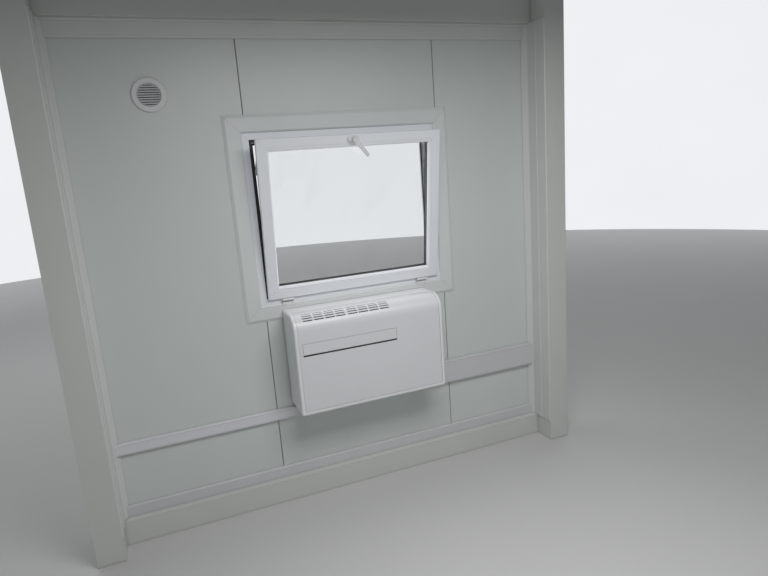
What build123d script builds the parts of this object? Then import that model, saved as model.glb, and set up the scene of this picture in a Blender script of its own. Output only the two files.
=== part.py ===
"""End wall of a portable site cabin, with its tilted window, wall vent and wall air conditioner.

Millimetres. X runs along the wall and Z is up. Y = 0 is the inner face of the wall, the room is on
the -Y side and the weather on the +Y side. Z = 0 is the underside of the floor rail.
"""
import math
import os

from build123d import *

# Wall and edge frame
cabin_width = 2989.0
side_wall_thickness = 140.0
wall_depth = 140.0
floor_rail_height = 140.0
room_height = 2582.0
roof_rail_height = 160.0
rail_reach = 60.0
post_reach = 200.0
steel = 4.0
end_plate = 10.0
post_corner = 8.0
sill_fall = 16.0
drip_depth = 30.0
drip_fall = 8.0

# Panels
joint_cover = 48.0
module_offset = 125.0
lining_thickness = 12.0
outer_panel_face = 100.0
joint_gap = 3.0
joint_bevel = 2.5
rib_pitch = 100.0
rib_depth = 4.0
rib_flank = 6.0
rib_flat = 34.0

# Window
sash_width = 1075.0
sash_height = 892.0
sash_bottom_above_floor = 1092.5
frame_margin_right = 50.0
frame_margin_left = 68.0
frame_margin_low = 60.0
frame_margin_top = 56.0
frame_depth = 70.0
frame_face = 62.0
frame_rebate = 14.0
frame_rebate_depth = 8.0
frame_stop = 14.0
frame_nose = 6.0
sash_lip = 20.0
sash_inset = 30.0
sash_body = 48.0
sash_face = 50.0
sash_round = 3.0
glass_cover = 68.0
glass_thickness = 24.0
glass_slot = 8.0
glass_edge_gap = 4.0
seal_thickness = 2.0
seal_height = 12.0
seal_peep = 3.0
bead_step = 2.0
stop_gap = 4.0
stop_seal = 8.0
bead_slope = 10.0
tilt = 8.4

# Window furniture
stay_drop = 190.0
stay_rise = 100.0
stay_width = 14.0
stay_pin = 4.0
handle_drop = 26.0
rose_length = 66.0
rose_width = 30.0
rose_depth = 10.0
stem_radius = 9.0
stem_reach = 36.0
lever_turn = 39.0
lever_length = 118.0
lever_root = 28.0
lever_tip = 18.0
lever_thickness = 16.0
hinge_spread = 425.0
hinge_width = 68.0
hinge_drop = 46.0
hinge_radius = 7.4
hinge_plate = 3.0
hinge_step = 1.0
hinge_stand = 2.0

# Boards round the window and metal on the weather side
trim_lap = 25.0
trim_lap_low = 29.0
trim_width = 94.0
trim_thickness = 10.0
trim_edge = 1.5
trim_bevel = 16.0
trim_slope = 8.0
flashing_lap = 11.0
flashing_cover = 46.0
flashing_metal = 8.0
flashing_bevel = 3.0
sill_metal = 14.0
sill_overhang = 20.0
sill_lip = 20.0
sill_edge = 2.0

# Vent
vent_offset = 454.0
vent_above_floor = 2223.5
vent_flange = 83.5
vent_field = 58.5
vent_duct = 52.0
vent_slats = 10
vent_depth = 10.0
pipe_wall = 2.0
slat_depth = 7.5
slat_metal = 1.6

# Air conditioner
unit_offset = 91.5
unit_width = 903.0
unit_above_floor = 452.0
unit_height = 572.0
unit_back = 14.0
unit_depth = 237.0
unit_round = 86.0
unit_foot = 16.0
unit_rim = 20.0
unit_chin = 24.0
unit_edge = 13.0
unit_corner = 20.0
unit_shell = 4.0
panel_gap = 1.6
panel_recess = 1.2
panel_run = 46.0
panel_corner = 8.0
rebate_width = 7.0
rebate_metal = 2.0
bracket_margin = 30.0
slot_first = 62.0
slot_length = 55.0
slot_bar = 9.0
slot_group_bar = 16.0
slot_width = 6.0
slot_depth = 24.0
slot_rows = 4
slot_row_angle = 11.0
slot_first_angle = 40.0
flap_start = 42.0
flap_length = 560.0
flap_low = 343.0
flap_height = 74.0
flap_gap = 1.5
flap_mouth = 8.0
pan_depth = 14.0
pan_metal = 2.0
pan_flange = 6.0
duct_radius = 81.0
duct_height = 150.0
duct_place = 0.27
grille_flange = 19.0
grille_slats = 8
grille_depth = 8.0

# Trims
cover_leg = 36.0
cover_nose = 3.0
cover_cove = 35.0
cover_stand = 8.0
cover_step = 5.0
cover_step_at = 112.0
cover_metal = 2.5
cornice_height = 91.0
cornice_top = 21.0
cornice_low = 9.0
cornice_mid = 12.0
cornice_lip = 19.0
cornice_cove = 14.0
skirting_height = 64.0
skirting_thickness = 15.0
skirting_round = 8.0
trunk_above_floor = 367.0
trunk_height = 63.0
trunk_depth = 24.0
trunk_lid = 3.0
trunk_groove = 1.5
dado_height = 148.0
dado_depth = 30.0
dado_clear = 8.0

# Derived places
half = cabin_width / 2
room_half = half - side_wall_thickness
floor_z = floor_rail_height
ceiling_z = floor_z + room_height
top_z = ceiling_z + roof_rail_height
middle_module = sash_width + frame_margin_left + frame_margin_right - joint_cover
joint_right = module_offset + middle_module / 2
joint_left = joint_right - middle_module
frame_right = joint_right
sash_centre = frame_right - frame_margin_right - sash_width / 2
sash_bottom = floor_z + sash_bottom_above_floor
frame_left = sash_centre - sash_width / 2 - frame_margin_left
frame_bottom = sash_bottom - frame_margin_low
frame_top = sash_bottom + sash_height + frame_margin_top
vent_x = joint_left - vent_offset
vent_z = floor_z + vent_above_floor
unit_left = joint_left + unit_offset
unit_right = unit_left + unit_width
unit_bottom = floor_z + unit_above_floor
unit_top = unit_bottom + unit_height
back_y = -unit_back
front_y = back_y - unit_depth
trunk_bottom = floor_z + trunk_above_floor


def polygon(plane, points):
    return plane * make_face(Polyline(*points, close=True))


def along_x(points, x0, x1):
    """Prism of a (y, z) outline between two x positions."""
    return extrude(polygon(Plane.YZ.offset(x0), points), amount=x1 - x0)


def along_z(points, z0, z1):
    """Prism of an (x, y) outline between two heights."""
    return extrude(polygon(Plane.XY.offset(z0), points), amount=z1 - z0)


def block(x0, x1, y0, y1, z0, z1):
    return Pos(x0, y0, z0) * Box(x1 - x0, y1 - y0, z1 - z0, align=Align.MIN)


def rod_x(y, z, radius, x0, x1):
    return extrude(Plane.YZ.offset(x0) * Pos(y, z) * Circle(radius), amount=x1 - x0)


def rod_y(x, z, radius, y0, y1):
    return extrude(Plane.XZ.offset(-y1) * Pos(x, z) * Circle(radius), amount=y1 - y0)


def mitred_bar(profile, outer, inner, side):
    """Bar along one side of a rectangle, cut to its mitres.

    Profile points are (share from outer to inner, y); both boxes are (left, right, low, high).
    """
    shares = [share for share, _ in profile]
    depths = [y for _, y in profile]
    near, far = [[a + (b - a) * share for a, b in zip(outer, inner)]
                 for share in (min(shares), max(shares))]
    edge = ("left", "right", "bottom", "top").index(side)
    levels = [outer[edge] + (inner[edge] - outer[edge]) * share for share in shares]
    if side in ("bottom", "top"):
        bar = along_x(list(zip(depths, levels)), near[0], near[1])
        mitre = [(near[0], near[edge]), (near[1], near[edge]), (far[1], far[edge]), (far[0], far[edge])]
    else:
        bar = along_z(list(zip(levels, depths)), near[2], near[3])
        mitre = [(near[edge], near[2]), (near[edge], near[3]), (far[edge], far[3]), (far[edge], far[2])]
    mask = extrude(polygon(Plane.XZ.offset(-max(depths)), mitre), amount=max(depths) - min(depths))
    return bar & mask


def inset_box(box, amount):
    x0, x1, z0, z1 = box
    return (x0 + amount, x1 - amount, z0 + amount, z1 - amount)


def mitred_ring(profile, outer):
    """Closed frame of one (inset, y) outline round a rectangle."""
    bars = [mitred_bar(profile, outer, inset_box(outer, 1), side)
            for side in ("bottom", "right", "top", "left")]
    return bars[0] + bars[1] + bars[2] + bars[3]


def round_louvre(x, z, reach, slats, y_room, y_far, lean):
    """Sloped slats clipped to a round field; lean +1 sheds towards y_far."""
    pitch = 2 * reach / slats
    disc = rod_y(x, z, reach, y_room, y_far)
    drop = lean * pitch * 0.36
    parts = []
    for i in range(slats):
        level = z - reach + (i + 0.5) * pitch
        outline = [(y_room, level + drop), (y_room + slat_metal, level + drop),
                   (y_far, level - drop), (y_far - slat_metal, level - drop)]
        parts.append(along_x(outline, x - reach, x + reach) & disc)
    return parts


nodes = {}

# Two closed posts with plated ends
outer = block(room_half, half, -post_reach, wall_depth, 0, top_z)
outer = fillet(outer.edges().filter_by(Axis.Z).filter_by(lambda e: e.center().Y > 0), post_corner)
post = outer - block(room_half + steel, half - steel, -post_reach + steel, wall_depth - steel,
                     end_plate, top_z - end_plate)
nodes["corner_post_right"] = post
nodes["corner_post_left"] = mirror(post, about=Plane.YZ)

# Floor rail whose top falls outwards beyond the panels, roof rail with a drip lip over them
floor_profile = [(-rail_reach, 0), (wall_depth, 0), (wall_depth, floor_z - sill_fall),
                 (outer_panel_face, floor_z), (-rail_reach, floor_z)]
floor_hollow = [(steel - rail_reach, steel), (wall_depth - steel, steel),
                (wall_depth - steel, floor_z - sill_fall - steel),
                (outer_panel_face - steel, floor_z - steel), (steel - rail_reach, floor_z - steel)]
nodes["floor_rail"] = (along_x(floor_profile, -room_half, room_half)
                       - along_x(floor_hollow, steel - room_half, room_half - steel))
roof_profile = [(-rail_reach, ceiling_z), (outer_panel_face, ceiling_z),
                (outer_panel_face, ceiling_z - drip_depth),
                (outer_panel_face + steel, ceiling_z - drip_depth),
                (wall_depth, ceiling_z - drip_fall), (wall_depth, top_z), (-rail_reach, top_z)]
roof_hollow = [(steel - rail_reach, ceiling_z + steel), (wall_depth - steel, ceiling_z + steel),
               (wall_depth - steel, top_z - steel), (steel - rail_reach, top_z - steel)]
nodes["roof_rail"] = (along_x(roof_profile, -room_half, room_half)
                      - along_x(roof_hollow, steel - room_half, room_half - steel))

# Wall panels: smooth inner lining with bevelled joints, insulated outer panel with shallow ribs
window_hole = block(frame_left, frame_right, -wall_depth, wall_depth, frame_bottom, frame_top)
vent_hole = rod_y(vent_x, vent_z, vent_duct, -wall_depth, wall_depth)
duct_centres = [(unit_left + duct_place * unit_width, unit_bottom + duct_height),
                (unit_right - duct_place * unit_width, unit_bottom + duct_height)]
duct_holes = [rod_y(x, z, duct_radius, -wall_depth, wall_depth) for x, z in duct_centres]


def lining(x0, x1):
    return [(x0, joint_bevel), (x0 + joint_bevel, 0), (x1 - joint_bevel, 0), (x1, joint_bevel),
            (x1, lining_thickness), (x0, lining_thickness)]


def ribbed(x0, x1):
    """Outline of a panel whose weather face steps back in shallow grooves at an even pitch."""
    face = outer_panel_face
    low = face - rib_depth
    count = int((x1 - x0 - rib_flat) // rib_pitch)
    groove = rib_flat + 2 * rib_flank
    x = (x0 + x1 - count * rib_pitch + rib_pitch - groove) / 2
    points = [(x1, lining_thickness), (x0, lining_thickness), (x0, face)]
    for _ in range(count):
        points += [(x, face), (x + rib_flank, low), (x + groove - rib_flank, low), (x + groove, face)]
        x += rib_pitch
    points.append((x1, face))
    return points


spans = {"left": (-room_half, joint_left - joint_gap / 2),
         "middle": (joint_left + joint_gap / 2, joint_right - joint_gap / 2),
         "right": (joint_right + joint_gap / 2, room_half)}
for name, (x0, x1) in spans.items():
    lined = along_z(lining(x0, x1), floor_z, ceiling_z) - window_hole
    backed = along_z(ribbed(x0, x1), floor_z, ceiling_z) - window_hole
    if name == "left":
        lined -= vent_hole
        backed -= vent_hole
    if name == "middle":
        for hole in duct_holes:
            lined -= hole
            backed -= hole
        for level, chosen in (("lower", 0), ("upper", 1)):
            nodes["lining_middle_" + level] = lined.solids().sort_by(Axis.Z)[chosen]
            nodes["outer_panel_middle_" + level] = backed.solids().sort_by(Axis.Z)[chosen]
    else:
        nodes["lining_" + name] = lined
        nodes["outer_panel_" + name] = backed

# Window frame, fixed in the hole with its room face flush with the lining
frame_box = (frame_left, frame_right, frame_bottom, frame_top)
frame_reveal = frame_face + frame_rebate
stop_y = sash_body + stop_gap
stop_edge = frame_reveal + frame_stop
frame_profile = [(0, 0), (frame_face, 0), (frame_face, frame_rebate_depth),
                 (frame_reveal, frame_rebate_depth), (frame_reveal, stop_y), (stop_edge, stop_y),
                 (stop_edge, frame_depth - frame_nose), (stop_edge - frame_nose, frame_depth),
                 (0, frame_depth)]
nodes["window_frame"] = mitred_ring(frame_profile, frame_box)
rebate_seal = [(frame_face, seal_thickness), (frame_reveal, seal_thickness),
               (frame_reveal, frame_rebate_depth), (frame_face, frame_rebate_depth)]
stop_strip = [(stop_edge - stop_seal, stop_y - seal_thickness), (stop_edge, stop_y - seal_thickness),
              (stop_edge, stop_y), (stop_edge - stop_seal, stop_y)]
nodes["frame_seals"] = Compound(children=[mitred_ring(rebate_seal, frame_box),
                                          mitred_ring(stop_strip, frame_box)])

# Sash, drawn closed about its lower rear edge and then leaned into the room
sash_box = (-sash_width / 2, sash_width / 2, 0, sash_height)
rear_slot = sash_body - glass_slot
glass_back = rear_slot - seal_thickness
glass_front = glass_back - glass_thickness
sash_profile = [(sash_round, -sash_lip), (0, sash_round - sash_lip), (0, 0), (sash_inset, 0),
                (sash_inset, sash_body), (glass_cover, sash_body), (glass_cover, rear_slot),
                (sash_face, rear_slot), (sash_face, seal_thickness - sash_lip),
                (sash_face - seal_thickness, -sash_lip)]
bead_profile = [(sash_face, bead_step - sash_lip), (sash_face, glass_front - seal_thickness),
                (glass_cover, glass_front - seal_thickness),
                (glass_cover, bead_step - sash_lip + bead_slope),
                (glass_cover - glass_slot, bead_step - sash_lip)]
seal_out = glass_cover + seal_peep
seal_in = seal_out - seal_height
inner_seal = [(seal_in, glass_front - seal_thickness), (seal_in, glass_front), (seal_out, glass_front),
              (seal_out, glass_front - seal_thickness)]
outer_seal = [(seal_in, glass_back), (seal_in, rear_slot), (seal_out, rear_slot),
              (seal_out, glass_back)]
glass_box = inset_box(sash_box, sash_face + glass_edge_gap)
place = Pos(sash_centre, 0, sash_bottom) * Rot(tilt, 0, 0)
nodes["window_sash"] = place * mitred_ring(sash_profile, sash_box)
nodes["glazing_bead"] = place * mitred_ring(bead_profile, sash_box)
nodes["glazing_seals"] = place * Compound(children=[mitred_ring(inner_seal, sash_box),
                                                    mitred_ring(outer_seal, sash_box)])
nodes["window_glass"] = place * block(glass_box[0], glass_box[1], glass_front, glass_back,
                                      glass_box[2], glass_box[3])

# Stays: a flat arm each side, pinned to the frame and to the side of the leaning sash
lean = math.radians(tilt)
pin_height = sash_height - stay_drop
reach = pin_height + stay_rise
sash_pin = Vector(glass_back * math.cos(lean) - reach * math.sin(lean),
                  glass_back * math.sin(lean) + reach * math.cos(lean) + sash_bottom)
frame_pin = Vector(glass_back, sash_bottom + pin_height)
run = sash_pin - frame_pin
arm_face = (Pos((sash_pin.X + frame_pin.X) / 2, (sash_pin.Y + frame_pin.Y) / 2)
            * Rot(0, 0, math.degrees(math.atan2(run.Y, run.X)))
            * SlotOverall(run.length + stay_width, stay_width))


def stay(x_frame, x_sash):
    """Flat arm in the middle of the gap between the frame and the side of the sash."""
    step = (x_sash - x_frame) / 4
    return (extrude(Plane.YZ.offset(x_frame + step) * arm_face, amount=2 * step)
            + rod_x(frame_pin.X, frame_pin.Y, stay_pin, x_frame, x_frame + 2 * step)
            + rod_x(sash_pin.X, sash_pin.Y, stay_pin, x_frame + 2 * step, x_sash))


body_half = sash_width / 2 - sash_inset
nodes["sash_stays"] = Compound(children=[
    stay(frame_left + frame_reveal, sash_centre - body_half),
    stay(frame_right - frame_reveal, sash_centre + body_half)])

# Handle: rounded rose on the top rail, stem, and a tapered lever turned away from straight down
handle_z = sash_height - handle_drop
rose = extrude(Plane.XZ.offset(sash_lip) * Pos(0, handle_z) * SlotOverall(rose_length, rose_width),
               amount=rose_depth)
rose = chamfer(rose.edges().group_by(Axis.Y)[0], rose_depth / 4)
stem = rod_y(0, handle_z, stem_radius, -sash_lip - stem_reach - lever_thickness / 2,
             -sash_lip - rose_depth)
root = lever_root / 2
tip = lever_tip / 2
lever_face = make_face(Polyline((-root, root), (root, root), (tip, -lever_length),
                                (-tip, -lever_length), close=True))
lever_face = fillet(lever_face.vertices(), tip - 1)
lever = extrude(Plane.XZ.offset(sash_lip + stem_reach) * Pos(0, handle_z)
                * Rot(0, 0, lever_turn) * lever_face, amount=lever_thickness)
lever = chamfer(lever.edges().group_by(Axis.Y)[0], lever_thickness / 4)
nodes["handle_rose"] = place * rose
nodes["handle_lever"] = place * (lever + stem)

# Hinges: a barrel under the lower edge of the sash, and a plate that steps out over the trim
barrel_y = hinge_stand - sash_lip
barrel_z = barrel_y * math.tan(lean) - hinge_radius / math.cos(lean) - 0.2
step_y = -trim_thickness - hinge_step
step_z = frame_bottom + trim_lap_low + hinge_step
plate_profile = [(0, sash_bottom - hinge_plate), (0, step_z), (step_y, step_z),
                 (step_y, sash_bottom - hinge_drop), (step_y - hinge_plate, sash_bottom - hinge_drop),
                 (step_y - hinge_plate, step_z + hinge_plate), (-hinge_plate, step_z + 2 * hinge_plate),
                 (-hinge_plate, sash_bottom - hinge_plate)]
web_z = sash_bottom + barrel_z - hinge_plate / 2
hinges = []
for offset in (-hinge_spread, hinge_spread):
    x0 = sash_centre + offset - hinge_width / 2
    x1 = x0 + hinge_width
    hinges.append(along_x(plate_profile, x0, x1)
                  + block(x0, x1, barrel_y, 0, web_z, web_z + hinge_plate)
                  + rod_x(barrel_y, sash_bottom + barrel_z, hinge_radius, x0, x1))
nodes["sash_hinges"] = Compound(children=hinges)

# Inner trim round the window: four mitred boards that lap the frame
trim_inner = (frame_left + trim_lap, frame_right - trim_lap, frame_bottom + trim_lap_low,
              frame_top - trim_lap)
trim_outer = inset_box(trim_inner, -trim_width)
bevel_share = trim_bevel / trim_width
slope_share = 1 - trim_slope / trim_width
trim_profile = [(0, 0), (0, -trim_edge), (bevel_share, -trim_thickness),
                (slope_share, -trim_thickness), (1, -trim_thickness / 2), (1, 0)]
for side in ("bottom", "right", "top", "left"):
    nodes["window_trim_" + side] = mitred_bar(trim_profile, trim_outer, trim_inner, side)

# Weather side of the window: flashing on the panels and a sloped sill below it
flashing_box = inset_box(frame_box, -flashing_cover)
flashing_edge = flashing_cover + flashing_lap
flashing_out = outer_panel_face + flashing_metal
flashing_profile = [(0, outer_panel_face), (0, flashing_out - flashing_bevel),
                    (flashing_bevel, flashing_out),
                    (flashing_edge, flashing_out), (flashing_edge, frame_depth),
                    (flashing_cover, frame_depth), (flashing_cover, outer_panel_face)]
nodes["window_flashing"] = mitred_ring(flashing_profile, flashing_box)
sill_z = frame_bottom + flashing_lap
sill_out = wall_depth + sill_overhang
sill_profile = [(frame_depth, sill_z), (frame_depth, sill_z + sill_metal),
                (sill_out, sill_z + sill_edge), (sill_out, sill_z - sill_lip),
                (sill_out - sill_edge, sill_z - sill_lip), (sill_out - sill_edge, sill_z)]
nodes["window_sill"] = along_x(sill_profile, frame_left + flashing_lap, frame_right - flashing_lap)


def flanged_disc(x, z, outer_radius, inner_radius, y_wall, y_face):
    """Flat ring standing on the wall, its outer edge sloped back."""
    low, high = min(y_wall, y_face), max(y_wall, y_face)
    ring = rod_y(x, z, outer_radius, low, high) - rod_y(x, z, inner_radius, low, high)
    rim = ring.edges().group_by(Axis.Y)[0 if y_face < y_wall else -1].sort_by(SortBy.LENGTH)[-1]
    return chamfer(rim, (high - low) / 3)


# Vent: round louvred grille indoors, duct through the wall, round louvred cap outdoors
grille = flanged_disc(vent_x, vent_z, vent_flange, vent_field, 0, -vent_depth)
for slat in round_louvre(vent_x, vent_z, vent_field, vent_slats, -slat_depth - 1, -1, -1):
    grille += slat
nodes["vent_grille"] = grille
nodes["vent_duct"] = (rod_y(vent_x, vent_z, vent_duct, 0, outer_panel_face)
                      - rod_y(vent_x, vent_z, vent_duct - pipe_wall, 0, outer_panel_face))
cap = flanged_disc(vent_x, vent_z, vent_flange, vent_field, outer_panel_face,
                   outer_panel_face + vent_depth)
for slat in round_louvre(vent_x, vent_z, vent_field, vent_slats, outer_panel_face + 1,
                         outer_panel_face + 1 + slat_depth, 1):
    cap += slat
nodes["vent_cap"] = cap


def unit_outline(inset):
    """Closed section of the unit, shrunk evenly, rounded where the top meets the front."""
    y_front = front_y + inset
    z_top = unit_top - inset
    z_low = unit_bottom + inset
    big = unit_round - inset
    foot = unit_foot - inset
    short = 1 - math.sqrt(0.5)
    shoulder = ThreePointArc((y_front, z_top - big), (y_front + big * short, z_top - big * short),
                             (y_front + big, z_top))
    toe = ThreePointArc((y_front + foot, z_low), (y_front + foot * short, z_low + foot * short),
                        (y_front, z_low + foot))
    return make_face([Line((back_y, z_top), (back_y, z_low)), Line((back_y, z_low), (y_front + foot, z_low)),
                      toe, Line((y_front, z_low + foot), (y_front, z_top - big)), shoulder,
                      Line((y_front + big, z_top), (back_y, z_top))])


def unit_body(inset, x0, x1):
    return extrude(Plane.YZ.offset(x0) * unit_outline(inset), amount=x1 - x0)


# Air conditioner: the section is swept along the unit, its ends rounded, then shelled
hull = unit_body(0, unit_left, unit_right)
for group in (0, -1):
    rim = hull.edges().group_by(Axis.X)[group].filter_by(lambda e: e.center().Y < back_y - 1)
    hull = fillet(rim, unit_edge)


def corner_mask(inset):
    """Front outline of the unit, its lower corners rounded, as a prism through the whole depth."""
    mask = block(unit_left + inset, unit_right - inset, front_y, back_y, unit_bottom + inset, unit_top)
    return fillet(mask.edges().filter_by(Axis.Y).group_by(Axis.Z)[0], unit_corner - inset)


hollow = unit_body(unit_shell, unit_left + unit_shell, unit_right - unit_shell) & corner_mask(unit_shell)
hull = (hull & corner_mask(0)) - hollow

# The front panel fills a mouth in the shell, a gap narrower all round, and rests on its rebate
mouth_left = unit_left + unit_rim
mouth_right = unit_right - unit_rim
mouth_low = unit_bottom + unit_chin
mouth_back = front_y + unit_round + panel_run


def mouth(grow):
    opening = block(mouth_left - grow, mouth_right + grow, front_y - 1, mouth_back + grow,
                    mouth_low - grow, unit_top + 1)
    return fillet(opening.edges().filter_by(Axis.Y).group_by(Axis.Z)[0], panel_corner + grow)


seat = panel_recess + unit_shell
rebate = hollow - unit_body(seat + rebate_metal, unit_left + unit_shell, unit_right - unit_shell)
rebate = (rebate & mouth(rebate_width)) - mouth(-rebate_width)
rebate -= mouth(0) - unit_body(seat, mouth_left, mouth_right)
nodes["unit_surround"] = (hull - mouth(0)) + rebate
skin = unit_body(panel_recess, mouth_left, mouth_right) - unit_body(seat, mouth_left, mouth_right)
front_panel = skin & mouth(-panel_gap)

# Outlet slots cut square to the shoulder, in rows of two groups
for row in range(slot_rows):
    angle = math.radians(slot_first_angle + slot_row_angle * row)
    y = front_y + unit_round - unit_round * math.cos(angle)
    z = unit_top - unit_round + unit_round * math.sin(angle)
    x = unit_left + slot_first
    for column in range(8):
        front_panel -= (Pos(x + slot_length / 2, y, z) * Rot(90 - math.degrees(angle), 0, 0)
                        * Box(slot_length, slot_width, slot_depth))
        x += slot_length + (slot_group_bar if column == 3 else slot_bar)

# Flap in a mouth below the slots, with a shallow pan behind it
flap_left = unit_left + flap_start
flap_right = flap_left + flap_length
flap_z0 = unit_bottom + flap_low
flap_z1 = flap_z0 + flap_height
panel_face = front_y + panel_recess
panel_back = panel_face + unit_shell
front_panel -= block(flap_left, flap_right, front_y, panel_back + 1, flap_z0, flap_z1)
nodes["unit_front_panel"] = front_panel
pan_back = panel_face + pan_depth
pan = block(flap_left - pan_flange, flap_right + pan_flange, panel_back, pan_back,
            flap_z0 - pan_flange, flap_z1 + pan_flange)
pan -= block(flap_left, flap_right, panel_back, pan_back - pan_metal, flap_z0, flap_z1)
nodes["unit_flap_pan"] = pan
flap = block(flap_left + flap_gap, flap_right - flap_gap, panel_face, pan_back - pan_metal,
             flap_z0 + flap_mouth, flap_z1 - flap_gap)
nodes["unit_flap"] = chamfer(flap.edges().filter_by(Axis.X).group_by(Axis.Y)[0].sort_by(Axis.Z)[0], 3)

chassis = block(unit_left + unit_shell, unit_right - unit_shell, back_y - unit_shell, back_y,
                unit_bottom + unit_chin, unit_top - unit_shell)
bracket = block(unit_left + bracket_margin, unit_right - bracket_margin, back_y, 0,
                unit_bottom + unit_chin, trim_outer[2] - 2)
ducts = []
outer_grilles = []
for x, z in duct_centres:
    through = rod_y(x, z, duct_radius, back_y - unit_shell, outer_panel_face)
    chassis -= through
    bracket -= through
    ducts.append(through - rod_y(x, z, duct_radius - pipe_wall, back_y - unit_shell, outer_panel_face))
    ring = flanged_disc(x, z, duct_radius + grille_flange, duct_radius - pipe_wall, outer_panel_face,
                        outer_panel_face + grille_depth)
    for slat in round_louvre(x, z, duct_radius - pipe_wall, grille_slats, outer_panel_face + 1,
                             outer_panel_face + grille_depth - 1, 1):
        ring += slat
    outer_grilles.append(ring)
nodes["unit_chassis"] = chassis
nodes["unit_bracket"] = bracket
nodes["unit_ducts"] = Compound(children=ducts)
nodes["unit_outer_grilles"] = Compound(children=outer_grilles)

# Corner covers: a hollow cove in the corner and a stepped leg over the post
side = room_half
cover_profile = [(side, 0), (side - cover_leg, 0), (side - cover_leg, -cover_nose),
                 (side - cover_stand, -cover_cove), (side - cover_stand, -cover_step_at),
                 (side - cover_step, -cover_step_at - cover_nose), (side - cover_step, -post_reach + 4),
                 (side, -post_reach)]
cove = [(side - cover_metal, -cover_metal), (side - cover_leg + 2 * cover_metal, -cover_metal),
        (side - cover_stand, cover_metal - cover_cove), (side - cover_metal, cover_metal - cover_cove)]
pocket = [(side, -cover_cove - cover_metal), (side - cover_stand + cover_metal, -cover_cove - cover_metal),
          (side - cover_stand + cover_metal, cover_metal - cover_step_at),
          (side, cover_metal - cover_step_at)]
cover = along_z(cover_profile, floor_z, ceiling_z)
for hollow in (cove, pocket):
    cover -= along_z(hollow, floor_z, ceiling_z)
nodes["corner_cover_right"] = cover
nodes["corner_cover_left"] = mirror(cover, about=Plane.YZ)

# Trims on the room side
trim_half = room_half - cover_leg
low = ceiling_z - cornice_height
cornice_profile = [(0, low), (-cornice_low, low), (-cornice_low, low + cornice_lip),
                   (-cornice_mid, low + cornice_lip + cornice_mid - cornice_low),
                   (-cornice_mid, ceiling_z - cornice_cove),
                   (-cornice_top, ceiling_z - cornice_cove / 2), (-cornice_top, ceiling_z),
                   (0, ceiling_z)]
nodes["cornice"] = along_x(cornice_profile, -trim_half, trim_half)

skirting = block(-trim_half, trim_half, -skirting_thickness, 0, floor_z, floor_z + skirting_height)
skirting = fillet(skirting.edges().filter_by(Axis.X).group_by(Axis.Y)[0].sort_by(Axis.Z)[-1],
                  skirting_round)
nodes["skirting"] = skirting


def trunking(depth, height, x0, x1):
    """Closed trunking with a clip-on lid, marked by a shallow groove along both edges."""
    z0 = trunk_bottom
    z1 = z0 + height
    seam = 2 * trunk_lid
    points = [(0, z0), (trunk_lid - depth, z0), (-depth, z0 + trunk_lid), (-depth, z0 + seam),
              (trunk_groove - depth, z0 + seam), (trunk_groove - depth, z0 + seam + trunk_groove),
              (-depth, z0 + seam + trunk_groove), (-depth, z1 - seam - trunk_groove),
              (trunk_groove - depth, z1 - seam - trunk_groove), (trunk_groove - depth, z1 - seam),
              (-depth, z1 - seam), (-depth, z1 - trunk_lid), (trunk_lid - depth, z1), (0, z1)]
    return along_x(points, x0, x1)


dado_left = unit_right + dado_clear
nodes["cable_trunking"] = trunking(trunk_depth, trunk_height, -trim_half, dado_left)
nodes["dado_trunking"] = trunking(dado_depth, dado_height, dado_left, trim_half)

os.makedirs("parts", exist_ok=True)
for name, shape in nodes.items():
    export_step(shape, "parts/" + name + ".step")
    print(name, round(shape.volume / 1e6, 3))
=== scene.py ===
from math import cos, radians, sin

import bmesh
import bpy
from mathutils import Matrix, Vector


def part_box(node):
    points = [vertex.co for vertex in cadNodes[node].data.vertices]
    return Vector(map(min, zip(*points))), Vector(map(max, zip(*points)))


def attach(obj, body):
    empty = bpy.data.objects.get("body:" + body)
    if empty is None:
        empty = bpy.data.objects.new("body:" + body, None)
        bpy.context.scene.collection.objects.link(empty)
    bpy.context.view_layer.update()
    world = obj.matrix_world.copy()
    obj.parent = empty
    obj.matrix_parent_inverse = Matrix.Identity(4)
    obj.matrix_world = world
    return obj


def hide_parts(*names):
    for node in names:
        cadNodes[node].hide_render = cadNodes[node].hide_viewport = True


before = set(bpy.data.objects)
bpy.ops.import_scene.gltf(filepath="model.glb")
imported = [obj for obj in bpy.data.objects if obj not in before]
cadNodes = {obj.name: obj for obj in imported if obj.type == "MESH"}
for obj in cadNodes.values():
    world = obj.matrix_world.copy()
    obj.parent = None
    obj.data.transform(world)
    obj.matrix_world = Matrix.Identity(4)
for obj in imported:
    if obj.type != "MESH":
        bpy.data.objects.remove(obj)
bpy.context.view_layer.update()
print("frame loaded:", len(cadNodes), "nodes")


# One output of a finish, so that a sum on it reads as plain maths
class Wire:
    def __init__(self, finish, socket):
        self.finish = finish
        self.socket = socket

    def maths(self, operation, first, second=0.0):
        return self.finish.add("ShaderNodeMath", {"operation": operation}, {0: first, 1: second})

    def __add__(self, other):
        return self.maths("ADD", self, other)

    def __radd__(self, other):
        return self.maths("ADD", other, self)

    def __sub__(self, other):
        return self.maths("SUBTRACT", self, other)

    def __rsub__(self, other):
        return self.maths("SUBTRACT", other, self)

    def __mul__(self, other):
        return self.maths("MULTIPLY", self, other)

    def __rmul__(self, other):
        return self.maths("MULTIPLY", other, self)

    def __abs__(self):
        return self.maths("ABSOLUTE", self)

    def lesser(self, other):
        return self.maths("MINIMUM", self, other)


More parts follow.
